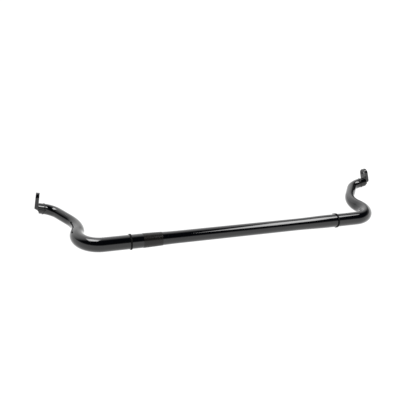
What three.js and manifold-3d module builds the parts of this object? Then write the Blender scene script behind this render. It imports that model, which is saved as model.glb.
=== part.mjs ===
// A hollow front sway bar (anti-roll bar) for a light truck, lying as it rests on a bench.
//
// X runs along the bar, +Y points to the ends of the arms and +Z is up. Millimetres and degrees.
// The right side is drawn, and the left side is its mirror image.
//
// The bar works by twisting. Its tube is drawn as two halves that meet at mid-span, where the
// twist of the whole tube is gathered into one hinge on the tube's own axis.

import * as THREE from 'three';
import { mergeVertices } from 'three/addons/utils/BufferGeometryUtils.js';
import Module from 'manifold-3d';

const wasm = await Module();
wasm.setup();

// ---- Driving dimensions -------------------------------------------------------------------

const GAP = 0.3; // left between pieces that touch

// Tube: one diameter at the bushing seats and shoulders, swaged down in the middle and the arms.
const SHOULDER_OD = 36;
const MIDDLE_OD = 32.6;
const ARM_OD = 28;
const TUBE_WALL = 5;
const TUBE_SIDES = 24;
const MIDDLE_HALF_LENGTH = 167; // the middle diameter ends here, measured from mid-span
const SHOULDER_START = 263; // and the shoulder diameter starts here
const ARM_SWAGE_LEAD = 25; // the arm's swage starts this far before the shoulder bend ends
const SWAGE_STEPS = 4;

// Corners where the straight runs of the tube's axis would meet, from mid-span outwards.
const MID_SPAN = new THREE.Vector3(0, 0, 0);
const SHOULDER_CORNER = new THREE.Vector3(427, 0, 0);
const ELBOW_CORNER = new THREE.Vector3(396, 108, -3);
const WRIST_CORNER = new THREE.Vector3(457, 188, 9);
const NECK_POINT = new THREE.Vector3(486, 182, 19);
const SHOULDER_RADIUS = 56;
const ELBOW_RADIUS = 73;
const WRIST_RADIUS = 36;
const SHOULDER_STEPS = 8;
const ELBOW_STEPS = 7;
const WRIST_STEPS = 6;
const TUBE_STRAIGHT_END = 2.5; // of tube past the wrist bend

// Forged end: a round neck, welded to the tube, that carries the link plate.
const NECK_LENGTH = 12.5;
const NECK_SINK = 4.8; // how far the neck runs into the slanted plate, so that its rim closes on it
const SPIGOT_LENGTH = 4;
const SPIGOT_CLEARANCE = 0.6;
const SPIGOT_ROOT = 1; // how far the spigot runs into the neck
const PLATE_WIDTH = 26;
const PLATE_THICKNESS = 9.4;
const PLATE_FOOT = 7; // centre of the plate's lower round above the neck's axis
const LINK_HOLE_HEIGHT = 27.5; // centre of the hole and of the upper round above the neck's axis
const LINK_HOLE = 12.2;
const PLATE_LEAN_BACK = 18.5;
const PLATE_LEAN_IN = 8.5;
const PLATE_TOE = 6;
const HEEL_DROP = 0.5; // the heel relief starts this far below the neck's axis on the outer face
const HEEL_KNEE = [-1, -6.5]; // where it steepens: along the plate's thickness, then down
const ROUND_SIDES = 24;

// Weld bead between the neck and the tube.
const BEAD_WIDTH = 4;
const BEAD_HEIGHT = 0.9;
const BEAD_EDGE = 0.2; // height of the bead along its two edges
const BEAD_STEPS = 4;

// Stop collar: a split band pinched on the tube inboard of each bushing.
const COLLAR_FROM_CENTRE = 287;
const COLLAR_WIDTH = 4;
const COLLAR_THICKNESS = 1.7;
const COLLAR_SPLIT = 10; // degrees of the circle left open
const COLLAR_SPLIT_AT = 115; // degrees from the underside to the middle of the split
const COLLAR_LUG = 1.6; // how far its two ends stand proud of the band
const COLLAR_LUG_SPAN = 9; // degrees of the circle that each end takes
const COLLAR_LUG_FALL = 4.5; // degrees over which an end falls back to the band
const COLLAR_ARC_STEPS = 16;

// Blank label wrapped round the left swage.
const LABEL_OUTER_END = 256;
const LABEL_INNER_END = 208;
const LABEL_THICKNESS = 0.4;
const LABEL_STEPS = 2;

// ---- Solids -------------------------------------------------------------------------------

/** A closed geometry as a solid that can be joined and cut. */
function solid(geometry) {
  const bare = geometry.clone();
  bare.deleteAttribute('normal');
  bare.deleteAttribute('uv');
  const merged = mergeVertices(bare);
  return new wasm.Manifold(new wasm.Mesh({
    numProp: 3,
    vertProperties: new Float32Array(merged.attributes.position.array),
    triVerts: new Uint32Array(merged.index.array),
  }));
}

/** A solid as a geometry. */
function geometryOf(shape) {
  const mesh = shape.getMesh();
  const geometry = new THREE.BufferGeometry();
  geometry.setAttribute('position', new THREE.BufferAttribute(mesh.vertProperties, mesh.numProp));
  geometry.setIndex(new THREE.BufferAttribute(mesh.triVerts, 1));
  return geometry;
}

/** The same closed shape on the other side of the bar's middle, still facing outwards. */
function mirrored(geometry) {
  const flat = geometry.index ? geometry.toNonIndexed() : geometry.clone();
  flat.scale(-1, 1, 1);
  const positions = flat.attributes.position;
  const corner = new THREE.Vector3();
  const other = new THREE.Vector3();
  for (let i = 0; i < positions.count; i += 3) {
    corner.fromBufferAttribute(positions, i + 1);
    other.fromBufferAttribute(positions, i + 2);
    positions.setXYZ(i + 1, other.x, other.y, other.z);
    positions.setXYZ(i + 2, corner.x, corner.y, corner.z);
  }
  return flat;
}

/** A cylinder along +X, from x = start. */
function cylinderAlongX(radius, length, start) {
  const cylinder = new THREE.CylinderGeometry(radius, radius, length, ROUND_SIDES);
  cylinder.rotateZ(-Math.PI / 2);
  return cylinder.translate(start + length / 2, 0, 0);
}

/** A lathed ring about the X axis, from a closed profile of [place along X, radius] points. */
function ringAboutX(profile, sides) {
  const points = profile.map(([along, radius]) => new THREE.Vector2(radius, along));
  points.push(points[0].clone());
  return new THREE.LatheGeometry(points, sides).rotateZ(-Math.PI / 2);
}

// ---- The tube -----------------------------------------------------------------------------

/** A circular bend that rounds the corner between two straight runs. */
class Bend extends THREE.Curve {
  constructor(before, corner, after, radius) {
    super();
    const back = before.clone().sub(corner).normalize();
    const ahead = after.clone().sub(corner).normalize();
    const halfCorner = back.angleTo(ahead) / 2;
    const bisector = back.clone().add(ahead).normalize();
    this.setback = radius / Math.tan(halfCorner);
    this.centre = corner.clone().addScaledVector(bisector, radius / Math.sin(halfCorner));
    this.start = corner.clone().addScaledVector(back, this.setback);
    this.end = corner.clone().addScaledVector(ahead, this.setback);
    this.axis = ahead.clone().cross(back).normalize();
    this.turn = Math.PI - 2 * halfCorner;
  }

  getPoint(t, target = new THREE.Vector3()) {
    target.copy(this.start).sub(this.centre);
    target.applyAxisAngle(this.axis, t * this.turn);
    return target.add(this.centre);
  }
}

/** A path that is visited only at chosen distances, so that a straight run costs one step. */
class Stations extends THREE.Curve {
  constructor(path, distances) {
    super();
    this.path = path;
    this.shares = distances.map((distance) => distance / distances.at(-1));
  }

  shareAt(u) {
    return this.shares[Math.round(u * (this.shares.length - 1))];
  }

  getPointAt(u, target) {
    return this.path.getPointAt(this.shareAt(u), target);
  }

  getTangentAt(u, target) {
    return this.path.getTangentAt(this.shareAt(u), target);
  }
}

const shoulderBend = new Bend(MID_SPAN, SHOULDER_CORNER, ELBOW_CORNER, SHOULDER_RADIUS);
const elbowBend = new Bend(shoulderBend.end, ELBOW_CORNER, WRIST_CORNER, ELBOW_RADIUS);
const wristBend = new Bend(elbowBend.end, WRIST_CORNER, NECK_POINT, WRIST_RADIUS);
const neckDirection = NECK_POINT.clone().sub(WRIST_CORNER).normalize();
const tubeEnd = wristBend.end.clone().addScaledVector(neckDirection, TUBE_STRAIGHT_END);

/** The tube's axis on the right side, and the distances along it where the tube has a ring. */
function tubeRoute() {
  const route = new THREE.CurvePath();
  const distances = [GAP / 2];
  for (let i = 0; i <= SWAGE_STEPS; i += 1) {
    distances.push(THREE.MathUtils.lerp(MIDDLE_HALF_LENGTH, SHOULDER_START, i / SWAGE_STEPS));
  }
  let from = MID_SPAN;
  let travelled = 0;
  const bends = [[shoulderBend, SHOULDER_STEPS], [elbowBend, ELBOW_STEPS], [wristBend, WRIST_STEPS]];
  for (const [bend, steps] of bends) {
    route.add(new THREE.LineCurve3(from, bend.start));
    route.add(bend);
    travelled += from.distanceTo(bend.start);
    const length = bend.turn * bend.centre.distanceTo(bend.start);
    for (let i = 0; i <= steps; i += 1) {
      distances.push(travelled + (length * i) / steps);
    }
    travelled += length;
    from = bend.end;
  }
  route.add(new THREE.LineCurve3(from, tubeEnd));
  distances.push(travelled + TUBE_STRAIGHT_END);
  return { route, distances };
}

const { route: tubeAxis, distances: tubeStations } = tubeRoute();
const ELBOW_START = tubeStations[1 + (SWAGE_STEPS + 1) + (SHOULDER_STEPS + 1)];
const ELBOW_END = ELBOW_START + elbowBend.turn * ELBOW_RADIUS;

/** The tube's outside radius at a distance from mid-span: middle, shoulder, then arm. */
function tubeRadius(distance) {
  const widened = THREE.MathUtils.smoothstep(distance, MIDDLE_HALF_LENGTH, SHOULDER_START);
  const narrowed = THREE.MathUtils.smoothstep(distance, ELBOW_START - ARM_SWAGE_LEAD, ELBOW_END);
  const inner = THREE.MathUtils.lerp(MIDDLE_OD / 2, SHOULDER_OD / 2, widened);
  return THREE.MathUtils.lerp(inner, ARM_OD / 2, narrowed);
}

/** Half of the hollow tube, swept along its axis and then swaged ring by ring. */
function tubeHalf() {
  const section = new THREE.Shape();
  section.absarc(0, 0, SHOULDER_OD / 2, 0, 2 * Math.PI);
  const bore = new THREE.Path();
  bore.absarc(0, 0, SHOULDER_OD / 2 - TUBE_WALL, 0, 2 * Math.PI, true);
  section.holes.push(bore);
  const geometry = new THREE.ExtrudeGeometry(section, {
    steps: tubeStations.length - 1,
    curveSegments: TUBE_SIDES / 2,
    extrudePath: new Stations(tubeAxis, tubeStations),
  });

  const rings = tubeStations.map((distance) => ({
    centre: tubeAxis.getPointAt(distance / tubeStations.at(-1)),
    radius: tubeRadius(distance),
  }));
  const positions = geometry.attributes.position;
  const point = new THREE.Vector3();
  for (let i = 0; i < positions.count; i += 1) {
    point.fromBufferAttribute(positions, i);
    const apart = (ring) => ring.centre.distanceToSquared(point);
    const ring = rings.reduce((best, next) => (apart(next) < apart(best) ? next : best));
    point.sub(ring.centre);
    const onOutside = point.length() > (SHOULDER_OD - TUBE_WALL) / 2;
    point.setLength(onOutside ? ring.radius : ring.radius - TUBE_WALL);
    point.add(ring.centre);
    positions.setXYZ(i, point.x, point.y, point.z);
  }
  return geometry;
}

// ---- The forged end -----------------------------------------------------------------------

const plateTurn = new THREE.Matrix4().makeRotationFromEuler(new THREE.Euler(
  -THREE.MathUtils.degToRad(PLATE_LEAN_BACK),
  -THREE.MathUtils.degToRad(PLATE_LEAN_IN),
  THREE.MathUtils.degToRad(PLATE_TOE),
  'ZYX',
));

/** Turns a shape that runs along +X so that it runs along the neck, from a point on its axis. */
function alongNeck(geometry, from) {
  const turn = new THREE.Quaternion();
  turn.setFromUnitVectors(new THREE.Vector3(1, 0, 0), neckDirection);
  geometry.applyQuaternion(turn);
  return geometry.translate(from.x, from.y, from.z);
}

/** The link plate: its inner face is at x = 0 and the neck's axis meets that face at the origin. */
function linkPlate() {
  const radius = PLATE_WIDTH / 2;
  const outline = new THREE.Shape();
  outline.absarc(PLATE_FOOT, 0, radius, Math.PI / 2, -Math.PI / 2);
  outline.absarc(LINK_HOLE_HEIGHT, 0, radius, -Math.PI / 2, Math.PI / 2);
  const hole = new THREE.Path();
  hole.absarc(LINK_HOLE_HEIGHT, 0, LINK_HOLE / 2, 0, 2 * Math.PI, true);
  outline.holes.push(hole);
  const plate = new THREE.ExtrudeGeometry(outline, {
    depth: PLATE_THICKNESS,
    curveSegments: ROUND_SIDES / 2,
    bevelEnabled: false,
  });
  // The outline's own X becomes up and its Y stays. The extrusion runs along -X, and is moved back.
  const stand = new THREE.Matrix4().makeBasis(
    new THREE.Vector3(0, 0, 1),
    new THREE.Vector3(0, 1, 0),
    new THREE.Vector3(-1, 0, 0),
  );
  plate.applyMatrix4(stand);
  return plate.translate(PLATE_THICKNESS, 0, 0);
}

/** What the forging die leaves out under the heel, where the neck turns up into the plate. */
function heelRelief() {
  const below = -ARM_OD;
  const outside = PLATE_THICKNESS + ARM_OD;
  const slope = (-HEEL_DROP - HEEL_KNEE[1]) / (PLATE_THICKNESS - HEEL_KNEE[0]);
  const relief = new THREE.Shape();
  relief.moveTo(outside, -HEEL_DROP + slope * ARM_OD);
  relief.lineTo(...HEEL_KNEE);
  relief.lineTo(-ARM_OD / 2, below);
  relief.lineTo(outside, below);
  relief.closePath();
  const block = new THREE.ExtrudeGeometry(relief, { depth: 2 * ARM_OD, bevelEnabled: false });
  return block.translate(0, 0, -ARM_OD).rotateX(Math.PI / 2);
}

/** Spigot, neck and link plate as the one forging that they are. */
function forgedEnd() {
  const shoulder = tubeEnd.clone().addScaledVector(neckDirection, GAP);
  const spigotRadius = ARM_OD / 2 - TUBE_WALL - SPIGOT_CLEARANCE;
  const neck = alongNeck(cylinderAlongX(ARM_OD / 2, NECK_LENGTH + NECK_SINK, 0), shoulder);
  const spigotStart = -SPIGOT_LENGTH - GAP;
  const spigotRun = SPIGOT_ROOT - spigotStart;
  const spigot = alongNeck(cylinderAlongX(spigotRadius, spigotRun, spigotStart), shoulder);
  const foot = shoulder.clone().addScaledVector(neckDirection, NECK_LENGTH);
  const inPlace = (shape) => shape.applyMatrix4(plateTurn).translate(foot.x, foot.y, foot.z);
  const body = solid(neck).add(solid(spigot)).add(solid(inPlace(linkPlate())));
  return geometryOf(body.subtract(solid(inPlace(heelRelief()))));
}

/** The weld bead, a low round-topped ring over the joint of tube and neck. */
function weldBead() {
  const inside = ARM_OD / 2 + GAP;
  const profile = [];
  for (let i = 0; i <= BEAD_STEPS; i += 1) {
    const angle = (Math.PI * i) / BEAD_STEPS;
    profile.push([
      (-BEAD_WIDTH / 2) * Math.cos(angle),
      inside + BEAD_EDGE + (BEAD_HEIGHT - BEAD_EDGE) * Math.sin(angle),
    ]);
  }
  profile.push([BEAD_WIDTH / 2, inside]);
  profile.push([-BEAD_WIDTH / 2, inside]);
  return alongNeck(ringAboutX(profile, TUBE_SIDES), tubeEnd);
}

// ---- Collars and label --------------------------------------------------------------------

/** A split band whose two pinched ends stand proud beside the split. */
function stopCollar() {
  const inside = SHOULDER_OD / 2 + GAP;
  const outside = inside + COLLAR_THICKNESS;
  const halfSplit = THREE.MathUtils.degToRad(COLLAR_SPLIT / 2);
  const lug = THREE.MathUtils.degToRad(COLLAR_LUG_SPAN);
  const lugAndFall = lug + THREE.MathUtils.degToRad(COLLAR_LUG_FALL);
  const full = 2 * Math.PI;
  const band = new THREE.Shape();
  band.absarc(0, 0, outside + COLLAR_LUG, halfSplit, halfSplit + lug);
  band.absarc(0, 0, outside, halfSplit + lugAndFall, full - halfSplit - lugAndFall);
  band.absarc(0, 0, outside + COLLAR_LUG, full - halfSplit - lug, full - halfSplit);
  band.absarc(0, 0, inside, full - halfSplit, halfSplit, true);
  const collar = new THREE.ExtrudeGeometry(band, {
    depth: COLLAR_WIDTH,
    curveSegments: COLLAR_ARC_STEPS,
    bevelEnabled: false,
  });
  collar.translate(0, 0, -COLLAR_WIDTH / 2);
  collar.rotateZ(THREE.MathUtils.degToRad(COLLAR_SPLIT_AT));
  // The band's plane turns to face along the bar, with its start at the underside.
  collar.rotateY(Math.PI / 2);
  return collar.translate(COLLAR_FROM_CENTRE, 0, 0);
}

/** A thin blank sleeve that follows the swage of the tube. */
function blankLabel() {
  const inner = [];
  const outer = [];
  for (let i = 0; i <= LABEL_STEPS; i += 1) {
    const along = THREE.MathUtils.lerp(LABEL_INNER_END, LABEL_OUTER_END, i / LABEL_STEPS);
    const skin = tubeRadius(along) + GAP;
    outer.push([along, skin + LABEL_THICKNESS]);
    inner.unshift([along, skin]);
  }
  return ringAboutX(outer.concat(inner), TUBE_SIDES);
}

// ---- Finishes and assembly ----------------------------------------------------------------

const finishes = {
  gloss_black_paint: { color: 0x0d0e10, roughness: 0.22, metalness: 0.0 },
  weld_under_paint: { color: 0x111214, roughness: 0.35, metalness: 0.0 },
  black_collar_band: { color: 0x08090a, roughness: 0.35, metalness: 0.1 },
  blank_label_film: { color: 0x2a2622, roughness: 0.6, metalness: 0.0 },
};

function part(name, geometry, finish) {
  const mesh = new THREE.Mesh(geometry, new THREE.MeshStandardMaterial(finishes[finish]));
  mesh.name = name;
  return mesh;
}

const bar = new THREE.Group();
const pieces = [
  ['tube', tubeHalf(), 'gloss_black_paint'],
  ['forged_end', forgedEnd(), 'gloss_black_paint'],
  ['weld_bead', weldBead(), 'weld_under_paint'],
  ['stop_collar', stopCollar(), 'black_collar_band'],
];
for (const [name, geometry, finish] of pieces) {
  bar.add(part(`${name}_right`, geometry, finish));
  bar.add(part(`${name}_left`, mirrored(geometry), finish));
}
bar.add(part('blank_label', mirrored(blankLabel()), 'blank_label_film'));

// The origin is under the middle of the whole bar, on the surface that it lies on.
const box = new THREE.Box3().setFromObject(bar, true);
const middle = box.getCenter(new THREE.Vector3());
bar.position.set(-middle.x, -middle.y, -box.min.z);

export default bar;
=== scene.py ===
"""A hollow front sway bar in gloss black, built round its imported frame. Metres, X along the bar, +Z up.

One unbroken tube stands for the two halves of the frame, so that the bar winds up smoothly when it twists.
The forged ends, weld beads, stop collars and label are modelled on the right or left and mirrored where
the bar has one on each side.
"""

from math import ceil, cos, pi, radians, sin, tan

import bmesh
import bpy
from mathutils import Matrix, Vector


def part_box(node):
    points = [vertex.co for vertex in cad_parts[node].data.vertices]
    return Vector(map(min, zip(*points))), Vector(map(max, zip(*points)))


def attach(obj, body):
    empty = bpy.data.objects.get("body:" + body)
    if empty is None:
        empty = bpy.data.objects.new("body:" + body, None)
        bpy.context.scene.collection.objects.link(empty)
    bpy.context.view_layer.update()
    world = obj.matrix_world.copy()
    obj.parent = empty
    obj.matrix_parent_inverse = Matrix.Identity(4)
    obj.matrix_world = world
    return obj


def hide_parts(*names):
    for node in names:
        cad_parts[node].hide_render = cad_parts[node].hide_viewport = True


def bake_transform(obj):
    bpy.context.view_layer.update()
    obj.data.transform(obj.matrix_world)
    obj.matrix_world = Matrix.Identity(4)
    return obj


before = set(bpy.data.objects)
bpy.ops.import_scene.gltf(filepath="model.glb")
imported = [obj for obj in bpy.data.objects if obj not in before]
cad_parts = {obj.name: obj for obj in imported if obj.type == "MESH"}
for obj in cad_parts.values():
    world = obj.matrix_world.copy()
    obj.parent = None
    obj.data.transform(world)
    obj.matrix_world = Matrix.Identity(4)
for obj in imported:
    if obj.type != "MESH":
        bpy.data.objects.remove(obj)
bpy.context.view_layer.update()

MM = 0.001
TOUCHING = 0.01 * MM  # points nearer than this are taken as one

# ---- Sizes ----------------------------------------------------------------------------------------

# Tube: one diameter at the bushing seats, swaged down in the middle and in the arms.
SHOULDER_OD = 36 * MM
MIDDLE_OD = 32.6 * MM
ARM_OD = 28 * MM
TUBE_WALL = 5 * MM
TUBE_SIDES = 64
MIDDLE_HALF_LENGTH = 167 * MM
SHOULDER_START = 263 * MM
ARM_SWAGE_LEAD = 25 * MM
RING_SPACING = 9 * MM
TUBE_STRAIGHT_END = 2.5 * MM

# Corners of the tube's axis, from mid-span outwards, with the radius of the bend round each.
label_low, label_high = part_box("blank_label")
MID_SPAN = Vector((0, (label_low.y + label_high.y) / 2, (label_low.z + label_high.z) / 2))
SHOULDER_CORNER = MID_SPAN + Vector((427, 0, 0)) * MM
ELBOW_CORNER = MID_SPAN + Vector((396, 108, -3)) * MM
WRIST_CORNER = MID_SPAN + Vector((457, 188, 9)) * MM
NECK_POINT = MID_SPAN + Vector((486, 182, 19)) * MM
SHOULDER_RADIUS = 56 * MM
ELBOW_RADIUS = 73 * MM
WRIST_RADIUS = 36 * MM

# Forged end: spigot, round neck and link plate.
TUBE_GAP = 0.3 * MM  # between the end of the tube and the neck
NECK_LENGTH = 12.5 * MM
NECK_SINK = 4.8 * MM  # how far the neck runs into the slanted plate
SPIGOT_LENGTH = 4 * MM
SPIGOT_RADIUS = 8.4 * MM
PLATE_WIDTH = 26 * MM
PLATE_THICKNESS = 9.4 * MM
PLATE_FOOT = 7 * MM  # the middle of the plate's lower round, above the neck's axis
LINK_HOLE_HEIGHT = 27.5 * MM
LINK_HOLE = 12.2 * MM
HOLE_CHAMFER = 0.9 * MM
PLATE_LEAN_BACK = radians(18.5)
PLATE_LEAN_IN = radians(8.5)
PLATE_TOE = radians(6)
HEEL_DROP = 0.5 * MM  # the relief under the heel starts this far below the neck's axis on the outer face
HEEL_KNEE = Vector((-1, 0, -6.5)) * MM  # and steepens here
HEEL_DIE_DEPTH = 84 * MM
HEEL_DIE_LEAN = 19 * MM  # how far the die's steep face leans in on its way down
FORGING_GRAIN = 0.4 * MM  # how fine the forging's mesh is
FORGING_ROUNDING = 6  # passes of smoothing, which round its edges over a few grains

# Weld bead.
BEAD_WIDTH = 4 * MM
BEAD_HEIGHT = 0.8 * MM
BEAD_SINK = 0.9 * MM  # how far its middle lies under the tube's skin
BEAD_RIPPLES = 38
RIPPLE_SWELL = (0.95, 0.98, 1.03, 1.0)  # the bead's thickness at the stations of one ripple

# Stop collar.
COLLAR_FROM_CENTRE = 287 * MM
COLLAR_WIDTH = 4 * MM
COLLAR_THICKNESS = 1.7 * MM
COLLAR_CLEARANCE = 0.05 * MM
COLLAR_SPLIT = radians(10)
COLLAR_SPLIT_AT = radians(115)  # from the underside to the middle of the split
COLLAR_LUG = 1.6 * MM  # how far the pinched ends stand up
COLLAR_STEPS = 70
COLLAR_LUG_STEPS = 2.5  # of the band's steps that are pinched up at each end
COLLAR_EDGE = 0.45 * MM

# Label.
LABEL_OUTER_END = 256 * MM
LABEL_INNER_END = 208 * MM
LABEL_FILM = 0.2 * MM
LABEL_OVERLAP = radians(24)
LABEL_CLIMB = 0.24 * MM  # how much further out the film is when it has come round over its own start
LABEL_STEPS = 96
LABEL_RINGS = 8

# ---- Hands ----------------------------------------------------------------------------------------


def start_piece(name, add, **where):
    """Adds a primitive at its place, named, with nothing else selected, and opens it for shaping."""
    bpy.ops.object.select_all(action="DESELECT")
    add(**where)
    piece = bpy.context.object
    piece.name = name
    piece.data.name = name
    settle(piece)
    bpy.ops.object.mode_set(mode="EDIT")
    return piece


def close_piece(piece, merge=0.0):
    """Ends the shaping and puts the place into the mesh. Doubles are merged where the shape closes on
    itself."""
    if merge:
        bpy.ops.mesh.select_all(action="SELECT")
        bpy.ops.mesh.remove_doubles(threshold=merge)
        bpy.ops.mesh.normals_make_consistent(inside=False)
    bpy.ops.object.mode_set(mode="OBJECT")
    settle(piece)


def choose(piece):
    """Selects this piece and nothing else."""
    bpy.ops.object.select_all(action="DESELECT")
    piece.select_set(True)
    bpy.context.view_layer.objects.active = piece


def settle(piece):
    """Puts the piece's place into its mesh, so that its object is at the origin, unturned and unscaled."""
    choose(piece)
    bpy.ops.object.transform_apply(location=True, rotation=True, scale=True)


def finish_with(piece, kind, **settings):
    """Adds a modifier with its settings and applies it."""
    choose(piece)
    modifier = piece.modifiers.new(kind.title(), kind)
    for name, value in settings.items():
        setattr(modifier, name, value)
    bpy.ops.object.modifier_apply(modifier=modifier.name)


def pick(piece, wanted):
    """Selects the points of the piece being shaped for which wanted(place) is true."""
    shape = bmesh.from_edit_mesh(piece.data)
    for face in shape.faces:
        face.select = False
    for edge in shape.edges:
        edge.select = False
    for point in shape.verts:
        point.select = wanted(piece.matrix_world @ point.co)
    shape.select_flush(True)
    bmesh.update_edit_mesh(piece.data)


def pick_end(piece, centre):
    """Selects the face of the piece being shaped whose middle is nearest to the centre."""
    shape = bmesh.from_edit_mesh(piece.data)
    for face in shape.faces:
        face.select = False
    nearest = min(shape.faces, key=lambda f: (piece.matrix_world @ f.calc_center_median() - centre).length)
    nearest.select = True
    shape.select_flush_mode()
    bmesh.update_edit_mesh(piece.data)


def mirrored(piece, name):
    """The same piece on the other side of the bar, with its own mesh and its faces turned outwards again."""
    twin = piece.copy()
    twin.data = piece.data.copy()
    twin.name = name
    twin.data.name = name
    bpy.context.collection.objects.link(twin)
    twin.scale = (-1, 1, 1)
    settle(twin)
    bpy.ops.object.mode_set(mode="EDIT")
    bpy.ops.mesh.select_all(action="SELECT")
    bpy.ops.mesh.normals_make_consistent(inside=False)
    bpy.ops.object.mode_set(mode="OBJECT")
    return twin


def round_shading(piece, angle):
    """Shades faces as one round surface where they meet at less than the angle."""
    choose(piece)
    bpy.ops.object.shade_smooth_by_angle(angle=angle)


def extrude_by(offset):
    """Draws what is selected straight out."""
    bpy.ops.mesh.extrude_region_move(TRANSFORM_OT_translate={"value": tuple(offset)})


def scale_about(centre, factors):
    """Scales what is selected about a point."""
    bpy.ops.transform.resize(value=tuple(factors), center_override=tuple(centre))


def carry_round(centre, axis, turn, steps=1):
    """Draws what is selected round an axis. Spin turns the left-handed way, so the turn goes in negative."""
    bpy.ops.mesh.spin(steps=steps, angle=-turn, center=tuple(centre), axis=tuple(axis))


# ---- The tube -------------------------------------------------------------------------------------


class Bend:
    """A round bend at a corner of the tube's axis."""

    def __init__(self, before, corner, after, radius):
        back = (before - corner).normalized()
        ahead = (after - corner).normalized()
        half_corner = back.angle(ahead) / 2
        self.radius = radius
        self.centre = corner + (back + ahead).normalized() * (radius / sin(half_corner))
        self.start = corner + back * (radius / tan(half_corner))
        self.end = corner + ahead * (radius / tan(half_corner))
        self.axis = ahead.cross(back).normalized()
        self.turn = pi - 2 * half_corner

    def at(self, share):
        turned = Matrix.Rotation(self.turn * share, 3, self.axis) @ (self.start - self.centre)
        return self.centre + turned


shoulder_bend = Bend(MID_SPAN, SHOULDER_CORNER, ELBOW_CORNER, SHOULDER_RADIUS)
elbow_bend = Bend(shoulder_bend.end, ELBOW_CORNER, WRIST_CORNER, ELBOW_RADIUS)
wrist_bend = Bend(elbow_bend.end, WRIST_CORNER, NECK_POINT, WRIST_RADIUS)
neck_direction = (NECK_POINT - WRIST_CORNER).normalized()
tube_end = wrist_bend.end + neck_direction * TUBE_STRAIGHT_END

ELBOW_START = (
    (shoulder_bend.start - MID_SPAN).length
    + SHOULDER_RADIUS * shoulder_bend.turn
    + (elbow_bend.start - shoulder_bend.end).length
)
ELBOW_END = ELBOW_START + ELBOW_RADIUS * elbow_bend.turn


def smooth_step(value, low, high):
    share = min(max((value - low) / (high - low), 0), 1)
    return share * share * (3 - 2 * share)


def tube_radius(distance):
    """The tube's outside radius at a distance from mid-span: middle, shoulder, then arm."""
    widened = smooth_step(distance, MIDDLE_HALF_LENGTH, SHOULDER_START)
    narrowed = smooth_step(distance, ELBOW_START - ARM_SWAGE_LEAD, ELBOW_END)
    inner = MIDDLE_OD + (SHOULDER_OD - MIDDLE_OD) * widened
    return (inner + (ARM_OD - inner) * narrowed) / 2


def lay_straight(begin, end, travelled):
    """Draws the tube straight on to the end, swaging each new ring. Returns the distance travelled."""
    steps = max(1, ceil((end - begin).length / RING_SPACING))
    for step in range(1, steps + 1):
        extrude_by((end - begin) / steps)
        before = tube_radius(travelled)
        travelled += (end - begin).length / steps
        swage = tube_radius(travelled) / before
        scale_about(begin.lerp(end, step / steps), (swage,) * 3)
    return travelled


def lay_bend(bend, travelled):
    """Draws the tube round a bend in the same way."""
    arc = bend.radius * bend.turn
    steps = ceil(arc / (RING_SPACING / 2))
    for step in range(1, steps + 1):
        carry_round(bend.centre, bend.axis, bend.turn / steps)
        before = tube_radius(travelled)
        travelled += arc / steps
        swage = tube_radius(travelled) / before
        scale_about(bend.at(step / steps), (swage,) * 3)
    return travelled


def bend_tube():
    """The whole bar's tube: half of its skin drawn from mid-span, mirrored, closed up and given its wall."""
    tube = start_piece(
        "bent_spring_tube",
        bpy.ops.mesh.primitive_circle_add,
        vertices=TUBE_SIDES,
        radius=MIDDLE_OD / 2,
        location=tuple(MID_SPAN),
        rotation=(0, pi / 2, 0),
    )
    bpy.ops.mesh.select_all(action="SELECT")
    travelled = 0.0
    at = MID_SPAN
    for bend in (shoulder_bend, elbow_bend, wrist_bend):
        travelled = lay_straight(at, bend.start, travelled)
        travelled = lay_bend(bend, travelled)
        at = bend.end
    lay_straight(at, tube_end, travelled)
    close_piece(tube)
    finish_with(tube, "MIRROR", merge_threshold=TOUCHING)
    bpy.ops.object.mode_set(mode="EDIT")
    close_piece(tube, merge=TOUCHING)
    finish_with(tube, "SOLIDIFY", thickness=TUBE_WALL, offset=-1, use_even_offset=True)
    round_shading(tube, radians(35))
    return tube


# ---- The forged ends ------------------------------------------------------------------------------

plate_turn = (
    Matrix.Rotation(PLATE_TOE, 4, "Z")
    @ Matrix.Rotation(-PLATE_LEAN_IN, 4, "Y")
    @ Matrix.Rotation(-PLATE_LEAN_BACK, 4, "X")
)
neck_shoulder = tube_end + neck_direction * TUBE_GAP
plate_origin = neck_shoulder + neck_direction * NECK_LENGTH
plate_place = Matrix.Translation(plate_origin) @ plate_turn
# The forging is drawn square to its plate, whose inner face is x = 0, and set on the bar when done.
neck_aim = plate_turn.to_3x3().inverted() @ neck_direction
along_neck = Vector((1, 0, 0)).rotation_difference(neck_aim)


def join_shapes(piece, other, operation):
    """Welds the other shape to the piece, or cuts it out, and takes the other away."""
    finish_with(piece, "BOOLEAN", object=other, operation=operation, solver="EXACT")
    bpy.data.objects.remove(other)


def link_plate():
    """The flat plate: a round drawn up into a rounded upright."""
    plate = start_piece(
        "link_plate",
        bpy.ops.mesh.primitive_cylinder_add,
        vertices=96,
        radius=PLATE_WIDTH / 2,
        depth=PLATE_THICKNESS,
        location=(PLATE_THICKNESS / 2, 0, PLATE_FOOT),
        rotation=(0, pi / 2, 0),
    )
    pick(plate, lambda place: place.z > PLATE_FOOT - TOUCHING)
    bpy.ops.transform.translate(value=(0, 0, LINK_HOLE_HEIGHT - PLATE_FOOT))
    close_piece(plate)
    return plate


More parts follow.
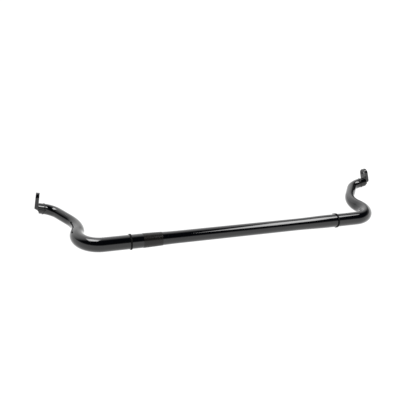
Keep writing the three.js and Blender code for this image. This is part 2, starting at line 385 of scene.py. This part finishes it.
def neck_and_spigot():
    """The round neck, and the spigot that goes into the tube."""
    length = NECK_LENGTH + NECK_SINK
    middle = neck_aim * (NECK_SINK - length / 2)
    neck = start_piece(
        "neck",
        bpy.ops.mesh.primitive_cylinder_add,
        vertices=96,
        radius=ARM_OD / 2,
        depth=length,
        location=tuple(middle),
        rotation=(along_neck.to_matrix() @ Matrix.Rotation(pi / 2, 3, "Y")).to_euler(),
    )
    root = -neck_aim * NECK_LENGTH
    bpy.ops.mesh.select_mode(type="FACE")
    pick_end(neck, root)
    # Drawn out by nothing and then scaled, the end face leaves a flat shoulder round the spigot.
    extrude_by((0, 0, 0))
    scale_about(root, (SPIGOT_RADIUS / (ARM_OD / 2),) * 3)
    extrude_by(-neck_aim * SPIGOT_LENGTH)
    close_piece(neck, merge=TOUCHING)
    return neck


def hole_drill():
    """A drill with countersinks for both faces of the plate."""
    drill = start_piece(
        "drill",
        bpy.ops.mesh.primitive_cylinder_add,
        vertices=96,
        radius=LINK_HOLE / 2,
        depth=PLATE_THICKNESS - 2 * HOLE_CHAMFER,
        location=(PLATE_THICKNESS / 2, 0, LINK_HOLE_HEIGHT),
        rotation=(0, pi / 2, 0),
    )
    flare = (LINK_HOLE / 2 + 2 * HOLE_CHAMFER) / (LINK_HOLE / 2)
    for side in (-1, 1):
        face_x = PLATE_THICKNESS / 2 + side * (PLATE_THICKNESS / 2 - HOLE_CHAMFER)
        pick_end(drill, Vector((face_x, 0, LINK_HOLE_HEIGHT)))
        extrude_by((side * 2 * HOLE_CHAMFER, 0, 0))
        scale_about((face_x, 0, LINK_HOLE_HEIGHT), (1, flare, flare))
    close_piece(drill)
    return drill


def heel_die():
    """What the die leaves out under the heel: a block with a knee in its upper face."""
    reach = ARM_OD
    slope = (-HEEL_DROP - HEEL_KNEE.z) / (PLATE_THICKNESS - HEEL_KNEE.x)
    die = start_piece(
        "heel_die",
        bpy.ops.mesh.primitive_plane_add,
        size=2 * reach,
        location=(HEEL_KNEE.x + reach, 0, HEEL_KNEE.z),
    )
    outer = HEEL_KNEE.x + reach
    pick(die, lambda place: place.x > outer)
    bpy.ops.transform.translate(value=(0, 0, 2 * reach * slope))
    bpy.ops.mesh.select_all(action="SELECT")
    extrude_by((0, 0, -HEEL_DIE_DEPTH))
    pick(die, lambda place: place.z < -reach and place.x < outer)
    bpy.ops.transform.translate(value=(-HEEL_DIE_LEAN, 0, 0))
    close_piece(die, merge=TOUCHING)
    return die


def forge_end():
    """The right forged end: plate, neck and spigot as one piece, with every edge rounded as forging
    leaves it."""
    forging = link_plate()
    forging.name = "right_forged_end"
    forging.data.name = "right_forged_end"
    join_shapes(forging, neck_and_spigot(), "UNION")
    join_shapes(forging, heel_die(), "DIFFERENCE")
    join_shapes(forging, hole_drill(), "DIFFERENCE")
    finish_with(forging, "REMESH", mode="VOXEL", voxel_size=FORGING_GRAIN)
    finish_with(forging, "SMOOTH", factor=0.5, iterations=FORGING_ROUNDING)
    forging.matrix_world = plate_place
    settle(forging)
    round_shading(forging, radians(60))
    return forging


# ---- Weld beads -----------------------------------------------------------------------------------


def run_weld():
    """The right weld bead: a low round section carried round the joint, swelling and thinning in ripples.
    It is drawn round X and set on the bar when done."""
    crown = Vector((0, 0, ARM_OD / 2 - BEAD_SINK))
    bead = start_piece(
        "right_weld_bead",
        bpy.ops.mesh.primitive_circle_add,
        vertices=16,
        radius=BEAD_WIDTH / 2,
        location=tuple(crown),
        rotation=(pi / 2, 0, 0),
    )
    bpy.ops.mesh.select_all(action="SELECT")
    scale_about(crown, (1, 1, (BEAD_HEIGHT + BEAD_SINK) / (BEAD_WIDTH / 2)))
    steps = BEAD_RIPPLES * len(RIPPLE_SWELL)
    for step in range(1, steps + 1):
        carry_round((0, 0, 0), (1, 0, 0), 2 * pi / steps)
        crown = Matrix.Rotation(2 * pi / steps, 3, "X") @ crown
        swell = RIPPLE_SWELL[step % len(RIPPLE_SWELL)] / RIPPLE_SWELL[(step - 1) % len(RIPPLE_SWELL)]
        scale_about(crown, (swell,) * 3)
    close_piece(bead, merge=TOUCHING)
    turn = Vector((1, 0, 0)).rotation_difference(neck_direction).to_matrix().to_4x4()
    bead.matrix_world = Matrix.Translation(tube_end) @ turn
    settle(bead)
    round_shading(bead, radians(60))
    return bead


# ---- Stop collars ---------------------------------------------------------------------------------


def crimp_collar():
    """The right stop collar: a flat strip carried round the tube, with its ends pinched up beside the
    split. It is drawn round X from the underside, then turned to its place."""
    inside = SHOULDER_OD / 2 + COLLAR_CLEARANCE
    middle = Vector((0, 0, -inside - COLLAR_THICKNESS / 2))
    collar = start_piece(
        "right_stop_collar",
        bpy.ops.mesh.primitive_plane_add,
        size=COLLAR_WIDTH,
        location=tuple(middle),
        rotation=(pi / 2, 0, 0),
    )
    bpy.ops.mesh.select_all(action="SELECT")
    scale_about(middle, (1, 1, COLLAR_THICKNESS / COLLAR_WIDTH))
    band_turn = 2 * pi - COLLAR_SPLIT
    carry_round((0, 0, 0), (1, 0, 0), band_turn, COLLAR_STEPS)
    lug_span = band_turn / COLLAR_STEPS * COLLAR_LUG_STEPS
    rim = inside + COLLAR_THICKNESS / 2
    for turned in (0, band_turn):
        end = Vector((0, sin(turned), -cos(turned)))
        pick(collar, lambda place, end=end: in_lug(place, end, rim, lug_span))
        bpy.ops.transform.translate(value=tuple(end * COLLAR_LUG))
    close_piece(collar, merge=TOUCHING)
    finish_with(
        collar, "BEVEL", width=COLLAR_EDGE, segments=3, limit_method="ANGLE", angle_limit=radians(40)
    )
    place = Matrix.Translation(MID_SPAN + Vector((COLLAR_FROM_CENTRE, 0, 0)))
    collar.matrix_world = place @ Matrix.Rotation(COLLAR_SPLIT_AT + COLLAR_SPLIT / 2, 4, "X")
    settle(collar)
    round_shading(collar, radians(50))
    return collar


def in_lug(place, end, rim, span):
    """Whether a point is on the outside of the band, within a span of one of its ends."""
    spoke = Vector((0, place.y, place.z))
    return spoke.length > rim and spoke.angle(end) < span


# ---- Label ----------------------------------------------------------------------------------------


def wrap_label():
    """The blank label: a strip of film carried round a little past a full turn, then pressed to the
    swage."""
    length = LABEL_OUTER_END - LABEL_INNER_END
    skin = SHOULDER_OD / 2
    strip = start_piece(
        "label_wrap",
        bpy.ops.mesh.primitive_plane_add,
        size=length,
        location=(
            -LABEL_INNER_END - length / 2,
            MID_SPAN.y + length / 2,
            MID_SPAN.z - skin - LABEL_FILM / 2,
        ),
    )
    pick(strip, lambda place: place.y > MID_SPAN.y + length / 2)
    bpy.ops.mesh.delete(type="VERT")
    bpy.ops.mesh.select_all(action="SELECT")
    bpy.ops.mesh.subdivide(number_cuts=LABEL_RINGS - 1)
    bpy.ops.mesh.select_all(action="SELECT")
    climb = 1 + LABEL_CLIMB / LABEL_STEPS / skin
    for step in range(LABEL_STEPS):
        carry_round(MID_SPAN, (1, 0, 0), (2 * pi + LABEL_OVERLAP) / LABEL_STEPS)
        scale_about(MID_SPAN, (1, climb, climb))
    for ring in range(LABEL_RINGS + 1):
        along = LABEL_INNER_END + length * ring / LABEL_RINGS
        pick(strip, lambda place, along=along: abs(place.x + along) < TOUCHING)
        pressed = tube_radius(along) / skin
        scale_about((-along, MID_SPAN.y, MID_SPAN.z), (1, pressed, pressed))
    close_piece(strip)
    finish_with(strip, "SOLIDIFY", thickness=LABEL_FILM, offset=0)
    round_shading(strip, radians(35))
    return strip


# ---- Finishes -------------------------------------------------------------------------------------


def linear(hex_colour):
    """An sRGB hex colour as linear RGBA."""
    channels = [int(hex_colour[i : i + 2], 16) / 255 for i in (1, 3, 5)]
    return [c / 12.92 if c <= 0.04045 else ((c + 0.055) / 1.055) ** 2.4 for c in channels] + [1.0]


def add_node(tree, kind, settings=None, links=None):
    """Adds a node, sets its properties and inputs by name and links its other inputs."""
    node = tree.nodes.new(kind)
    for name, value in (settings or {}).items():
        if name in node.inputs:
            node.inputs[name].default_value = value
        else:
            setattr(node, name, value)
    for name, source in (links or {}).items():
        tree.links.new(source, node.inputs[name])
    return node


def per_metre(size_mm):
    """The scale of a pattern whose marks are this many millimetres apart."""
    return 1000 / size_mm


def new_material(name):
    material = bpy.data.materials.new(name)
    material.use_nodes = True
    material.node_tree.nodes.clear()
    return material, material.node_tree


def gloss_black_enamel():
    """Stoving enamel sprayed on steel: a deep mirror black, faintly rippled by orange peel and dulled in
    patches by handling, with a little settled dust. The resin flows out to a clear skin over the pigment,
    so nearly all of the gloss is that skin's, and the pigmented film under it reflects little."""
    material, tree = new_material("gloss_black_stoving_enamel")
    place = add_node(tree, "ShaderNodeTexCoord").outputs["Object"]
    # Orange peel is about 1 mm across and is drawn at 3 mm, the finest that shows.
    peel = add_node(tree, "ShaderNodeTexNoise", {"Scale": per_metre(3), "Detail": 1.0}, {"Vector": place})
    # The film sags over about 40 mm where it flowed before stoving.
    sag = add_node(tree, "ShaderNodeTexNoise", {"Scale": per_metre(40), "Detail": 2.0}, {"Vector": place})
    # Hands and wrapping leave dull patches about 25 mm across.
    handling = add_node(
        tree, "ShaderNodeTexNoise", {"Scale": per_metre(25), "Detail": 5.0}, {"Vector": place}
    )
    dulled = add_node(
        tree,
        "ShaderNodeMapRange",
        {"From Min": 0.35, "From Max": 0.75, "To Min": 0.05, "To Max": 0.12},
        {"Value": handling.outputs["Fac"]},
    )
    # Dust nibs are 0.1 mm specks and are drawn at 0.8 mm, one to about 12 mm.
    specks = add_node(tree, "ShaderNodeTexVoronoi", {"Scale": per_metre(12)}, {"Vector": place})
    nib = add_node(
        tree,
        "ShaderNodeMapRange",
        {"From Min": 0.035, "From Max": 0.06, "To Min": 1.0, "To Max": 0.0},
        {"Value": specks.outputs["Distance"]},
    )
    colour = add_node(
        tree,
        "ShaderNodeMixRGB",
        {"Color1": linear("#020306"), "Color2": linear("#151619")},
        {"Fac": nib.outputs["Result"]},
    )
    sagged = add_node(
        tree, "ShaderNodeBump", {"Strength": 1.0, "Distance": 0.05 * MM}, {"Height": sag.outputs["Fac"]}
    )
    peeled = add_node(
        tree,
        "ShaderNodeBump",
        {"Strength": 1.0, "Distance": 0.012 * MM},
        {"Height": peel.outputs["Fac"], "Normal": sagged.outputs["Normal"]},
    )
    nibbed = add_node(
        tree,
        "ShaderNodeBump",
        {"Strength": 0.6, "Distance": 0.05 * MM},
        {"Height": nib.outputs["Result"], "Normal": peeled.outputs["Normal"]},
    )
    shader = add_node(
        tree,
        "ShaderNodeBsdfPrincipled",
        {"IOR": 1.3, "Metallic": 0.0, "Coat Weight": 1.0, "Coat Roughness": 0.04, "Coat IOR": 1.5},
        {
            "Base Color": colour.outputs["Color"],
            "Roughness": dulled.outputs["Result"],
            "Normal": nibbed.outputs["Normal"],
            "Coat Normal": nibbed.outputs["Normal"],
        },
    )
    add_node(tree, "ShaderNodeOutputMaterial", None, {"Surface": shader.outputs["BSDF"]})
    return material


def enamelled_weld():
    """Mild steel weld metal under the same enamel: the film is thinner on the crests, so they look duller
    and a shade greyer, and fine spatter roughens it."""
    material, tree = new_material("enamelled_steel_weld")
    place = add_node(tree, "ShaderNodeTexCoord").outputs["Object"]
    # Spatter is 0.5 mm across and its grains are about 1.2 mm apart.
    spatter = add_node(
        tree, "ShaderNodeTexNoise", {"Scale": per_metre(1.2), "Detail": 3.0}, {"Vector": place}
    )
    # The film is thick and thin in patches about 6 mm across.
    film = add_node(tree, "ShaderNodeTexNoise", {"Scale": per_metre(6), "Detail": 3.0}, {"Vector": place})
    colour = add_node(
        tree,
        "ShaderNodeMixRGB",
        {"Color1": linear("#030304"), "Color2": linear("#0a0a0b")},
        {"Fac": film.outputs["Fac"]},
    )
    rough = add_node(
        tree,
        "ShaderNodeMapRange",
        {"From Min": 0.3, "From Max": 0.7, "To Min": 0.16, "To Max": 0.32},
        {"Value": film.outputs["Fac"]},
    )
    bumped = add_node(
        tree, "ShaderNodeBump", {"Strength": 1.0, "Distance": 0.08 * MM}, {"Height": spatter.outputs["Fac"]}
    )
    shader = add_node(
        tree,
        "ShaderNodeBsdfPrincipled",
        {"IOR": 1.5, "Metallic": 0.0},
        {
            "Base Color": colour.outputs["Color"],
            "Roughness": rough.outputs["Result"],
            "Normal": bumped.outputs["Normal"],
        },
    )
    add_node(tree, "ShaderNodeOutputMaterial", None, {"Surface": shader.outputs["BSDF"]})
    return material


def phosphated_strip():
    """Steel strip, rolled, phosphated and oiled: the crystals swallow most of the sheen, so the band stays
    black across the tube's highlight, with fine rolling lines round it."""
    material, tree = new_material("phosphated_rolled_steel_strip")
    place = add_node(tree, "ShaderNodeTexCoord").outputs["Object"]
    # Rolling lines are 0.2 mm apart and are drawn at 0.8 mm. They run round the band, so they vary along X.
    stretched = add_node(
        tree,
        "ShaderNodeMapping",
        {"Scale": (per_metre(0.8), per_metre(30), per_metre(30))},
        {"Vector": place},
    )
    lines = add_node(
        tree, "ShaderNodeTexNoise", {"Scale": 1.0, "Detail": 2.0}, {"Vector": stretched.outputs["Vector"]}
    )
    colour = add_node(
        tree,
        "ShaderNodeMixRGB",
        {"Color1": linear("#020202"), "Color2": linear("#070708")},
        {"Fac": lines.outputs["Fac"]},
    )
    rough = add_node(
        tree,
        "ShaderNodeMapRange",
        {"From Min": 0.3, "From Max": 0.7, "To Min": 0.45, "To Max": 0.6},
        {"Value": lines.outputs["Fac"]},
    )
    bumped = add_node(
        tree, "ShaderNodeBump", {"Strength": 1.0, "Distance": 0.03 * MM}, {"Height": lines.outputs["Fac"]}
    )
    shader = add_node(
        tree,
        "ShaderNodeBsdfPrincipled",
        {"IOR": 1.4, "Metallic": 0.0, "Specular IOR Level": 0.2},
        {
            "Base Color": colour.outputs["Color"],
            "Roughness": rough.outputs["Result"],
            "Normal": bumped.outputs["Normal"],
        },
    )
    add_node(tree, "ShaderNodeOutputMaterial", None, {"Surface": shader.outputs["BSDF"]})
    return material


def satin_label_film():
    """Printed-label stock, cast vinyl with a satin face: a warm dark grey that spreads the reflections out,
    with small creases and scuffs from being smoothed down by hand."""
    material, tree = new_material("satin_cast_vinyl_film")
    place = add_node(tree, "ShaderNodeTexCoord").outputs["Object"]
    # Scuffs run 15 mm round the bar and are 1.5 mm wide.
    stretched = add_node(
        tree,
        "ShaderNodeMapping",
        {"Scale": (per_metre(1.5), per_metre(15), per_metre(15))},
        {"Vector": place},
    )
    scuffs = add_node(
        tree, "ShaderNodeTexNoise", {"Scale": 1.0, "Detail": 3.0}, {"Vector": stretched.outputs["Vector"]}
    )
    # Creases are about 9 mm apart.
    creases = add_node(tree, "ShaderNodeTexNoise", {"Scale": per_metre(9), "Detail": 2.0}, {"Vector": place})
    colour = add_node(
        tree,
        "ShaderNodeMixRGB",
        {"Color1": linear("#0b0908"), "Color2": linear("#14100e")},
        {"Fac": scuffs.outputs["Fac"]},
    )
    rough = add_node(
        tree,
        "ShaderNodeMapRange",
        {"From Min": 0.3, "From Max": 0.7, "To Min": 0.22, "To Max": 0.32},
        {"Value": scuffs.outputs["Fac"]},
    )
    bumped = add_node(
        tree, "ShaderNodeBump", {"Strength": 1.0, "Distance": 0.04 * MM}, {"Height": creases.outputs["Fac"]}
    )
    shader = add_node(
        tree,
        "ShaderNodeBsdfPrincipled",
        {"IOR": 1.46, "Metallic": 0.0},
        {
            "Base Color": colour.outputs["Color"],
            "Roughness": rough.outputs["Result"],
            "Normal": bumped.outputs["Normal"],
        },
    )
    add_node(tree, "ShaderNodeOutputMaterial", None, {"Surface": shader.outputs["BSDF"]})
    return material


# ---- Studio ---------------------------------------------------------------------------------------

FLOOR_DROP = 32 * MM  # the white sweep lies this far under the bar, so that a twisted arm clears it
SWEEP_RADIUS = 5.0  # of its flat floor
SWEEP_RISE = 1.9
SWEEP_CURVE = 2.0  # how far the curve runs outwards as it rises
SWEEP_STEPS = 8
SWEEP_GLOW = 1.03
LAMP_DISTANCE = 1.7
LAMP_EDGE = 0.55  # the brightness at the corners of a softbox, as a share of that in its middle
LAMP_FADE = (0.15, 0.6)  # where it starts and stops fading, from the middle, as shares of the cloth
PANEL_HEIGHT = radians(30)
PANEL_BEARING = radians(-32)  # from straight behind the bar, to the right of the view
PANEL_CORE = radians(20)  # the panel is fully bright this far round its middle
PANEL_RIM = radians(62)  # and fades out here
PANEL_BRIGHT = 1.6
BAND_TOP = radians(16)  # the low band is fully bright up to this height
BAND_FADED = radians(28)  # and fades out here
BAND_BRIGHT = 0.5
ROOM_DARK = 0.02
CAMERA_YAW = radians(19.98)
CAMERA_PITCH = radians(25.89)
CAMERA_ROLL = radians(4.205)
CAMERA_PLACE = MID_SPAN + Vector((-530.7, -1143.9, 689.4)) * MM
CAMERA_LENS = 49.5  # its focal length, in millimetres
CAMERA_FILM = 36.0  # its film's width, in millimetres
CAMERA_SIGHT = 50.0  # how far it sees
camera_ahead = Vector((sin(CAMERA_YAW), cos(CAMERA_YAW), 0))
camera_right = Vector((cos(CAMERA_YAW), -sin(CAMERA_YAW), 0))


def white_sweep():
    """A round white floor that curves up all round, lit from within so that it stays an even white."""
    sweep = start_piece(
        "white_sweep",
        bpy.ops.mesh.primitive_circle_add,
        vertices=96,
        radius=SWEEP_RADIUS,
        fill_type="NGON",
        location=(0, 0, -FLOOR_DROP),
    )
    # Only the rim is drawn on, without the floor inside it.
    bpy.ops.mesh.select_mode(type="EDGE")
    shape = bmesh.from_edit_mesh(sweep.data)
    for face in shape.faces:
        face.select = False
    for edge in shape.edges:
        edge.select = True
    bmesh.update_edit_mesh(sweep.data)
    reach = SWEEP_RADIUS
    height = 0.0
    for step in range(1, SWEEP_STEPS + 1):
        angle = pi / 2 * step / SWEEP_STEPS
        new_reach = SWEEP_RADIUS + SWEEP_CURVE * sin(angle)
        new_height = SWEEP_RISE * (1 - cos(angle))
        bpy.ops.mesh.extrude_edges_move(TRANSFORM_OT_translate={"value": (0, 0, new_height - height)})
        grow = new_reach / reach
        scale_about((0, 0, 0), (grow, grow, 1))
        reach, height = new_reach, new_height
    close_piece(sweep)
    round_shading(sweep, radians(40))
    material, tree = new_material("white_matt_acrylic")
    shader = add_node(
        tree,
        "ShaderNodeBsdfPrincipled",
        {
            "Base Color": linear("#303030"),
            "Roughness": 0.9,
            "Emission Color": linear("#ffffff"),
            "Emission Strength": SWEEP_GLOW,
        },
    )
    add_node(tree, "ShaderNodeOutputMaterial", None, {"Surface": shader.outputs["BSDF"]})
    sweep.data.materials.append(material)


def softbox(name, lean_right, lean_back, width, depth, radiance):
    """A big soft lamp overhead that faces the bar and is brightest in its middle. The leans are from the
    zenith, to the right of the view and away from it."""
    up = Vector((0, 0, 1))
    direction = (camera_right * tan(lean_right) + camera_ahead * tan(lean_back) + up).normalized()
    across = (camera_right - direction * camera_right.dot(direction)).normalized()
    box = start_piece(name, bpy.ops.mesh.primitive_plane_add, size=1.0)
    bpy.ops.object.mode_set(mode="OBJECT")
    turn = Matrix((across * width, across.cross(direction) * depth, -direction)).transposed()
    box.matrix_world = Matrix.Translation(MID_SPAN + direction * LAMP_DISTANCE) @ turn.to_4x4()
    settle(box)
    material, tree = new_material(name + "_cloth")
    spot = add_node(tree, "ShaderNodeTexCoord").outputs["UV"]
    centred = add_node(tree, "ShaderNodeVectorMath", {"operation": "SUBTRACT"}, {0: spot})
    centred.inputs[1].default_value = (0.5, 0.5, 0)
    off_centre = add_node(
        tree, "ShaderNodeVectorMath", {"operation": "LENGTH"}, {0: centred.outputs["Vector"]}
    )
    fade = add_node(
        tree,
        "ShaderNodeMapRange",
        {
            "From Min": LAMP_FADE[0],
            "From Max": LAMP_FADE[1],
            "To Min": radiance,
            "To Max": radiance * LAMP_EDGE,
        },
        {"Value": off_centre.outputs["Value"]},
    )
    glow = add_node(tree, "ShaderNodeEmission", None, {"Strength": fade.outputs["Result"]})
    add_node(tree, "ShaderNodeOutputMaterial", None, {"Surface": glow.outputs["Emission"]})
    box.data.materials.append(material)
    box.visible_camera = False


def studio_room():
    """Soft light from the room: a white panel behind on the left, a low and dimmer band all round and a dark
    rest. Seen directly, the room is white."""
    world = bpy.data.worlds.new("studio_room")
    bpy.context.scene.world = world
    world.use_nodes = True
    tree = world.node_tree
    tree.nodes.clear()
    direction = add_node(tree, "ShaderNodeTexCoord").outputs["Generated"]
    bearing = camera_ahead * cos(PANEL_BEARING) + camera_right * sin(PANEL_BEARING)
    panel_centre = bearing * cos(PANEL_HEIGHT) + Vector((0, 0, sin(PANEL_HEIGHT)))
    to_panel = add_node(tree, "ShaderNodeVectorMath", {"operation": "DOT_PRODUCT"}, {0: direction})
    to_panel.inputs[1].default_value = panel_centre
    panel = add_node(
        tree,
        "ShaderNodeMapRange",
        {
            "interpolation_type": "SMOOTHSTEP",
            "From Min": cos(PANEL_RIM),
            "From Max": cos(PANEL_CORE),
            "To Min": ROOM_DARK,
            "To Max": PANEL_BRIGHT,
        },
        {"Value": to_panel.outputs["Value"]},
    )
    height = add_node(tree, "ShaderNodeSeparateXYZ", None, {"Vector": direction})
    band = add_node(
        tree,
        "ShaderNodeMapRange",
        {
            "From Min": sin(BAND_TOP),
            "From Max": sin(BAND_FADED),
            "To Min": BAND_BRIGHT,
            "To Max": ROOM_DARK,
        },
        {"Value": height.outputs["Z"]},
    )
    brighter = add_node(
        tree,
        "ShaderNodeMath",
        {"operation": "MAXIMUM"},
        {0: panel.outputs["Result"], 1: band.outputs["Result"]},
    )
    seen = add_node(tree, "ShaderNodeLightPath").outputs["Is Camera Ray"]
    shown = add_node(
        tree, "ShaderNodeMath", {"operation": "MAXIMUM"}, {0: seen, 1: brighter.outputs["Value"]}
    )
    room = add_node(tree, "ShaderNodeBackground", None, {"Strength": shown.outputs["Value"]})
    add_node(tree, "ShaderNodeOutputWorld", None, {"Surface": room.outputs["Background"]})


def studio():
    """The sweep, the lamps, the room and the camera."""
    scene = bpy.context.scene
    scene.view_settings.view_transform = "Standard"
    white_sweep()
    softbox(
        "right_softbox", lean_right=radians(31), lean_back=radians(4), width=0.58, depth=1.3, radiance=8.8
    )
    softbox(
        "left_softbox", lean_right=radians(-25.5), lean_back=radians(6), width=0.6, depth=0.97, radiance=9.5
    )
    studio_room()

    lens = bpy.data.cameras.new("camera")
    lens.lens = CAMERA_LENS
    lens.sensor_width = CAMERA_FILM
    lens.clip_end = CAMERA_SIGHT
    camera = bpy.data.objects.new("camera", lens)
    scene.collection.objects.link(camera)
    camera.matrix_world = (
        Matrix.Translation(CAMERA_PLACE)
        @ Matrix.Rotation(-CAMERA_YAW, 4, "Z")
        @ Matrix.Rotation(pi / 2 - CAMERA_PITCH, 4, "X")
        @ Matrix.Rotation(CAMERA_ROLL, 4, "Z")
    )
    scene.camera = camera


# ---- Assembly -------------------------------------------------------------------------------------

studio()

enamel = gloss_black_enamel()
weld_finish = enamelled_weld()
strip_finish = phosphated_strip()
film_finish = satin_label_film()


def dress(piece, material):
    """Gives the piece its finish."""
    piece.data.materials.clear()
    piece.data.materials.append(material)


tube = bend_tube()
dress(tube, enamel)
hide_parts("tube_left", "tube_right")
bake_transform(tube)

for part, make, material, slot in (
    ("forged_end", forge_end, enamel, "gloss_black_paint"),
    ("weld_bead", run_weld, weld_finish, "painted_weld"),
    ("stop_collar", crimp_collar, strip_finish, "black_collar_band"),
):
    right = make()
    dress(right, material)
    left = mirrored(right, "left_" + part)
    for piece, side in ((right, "right"), (left, "left")):
        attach(piece, side + "_side")
        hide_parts(part + "_" + side)

label = wrap_label()
dress(label, film_finish)
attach(label, "left_side")
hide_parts("blank_label")
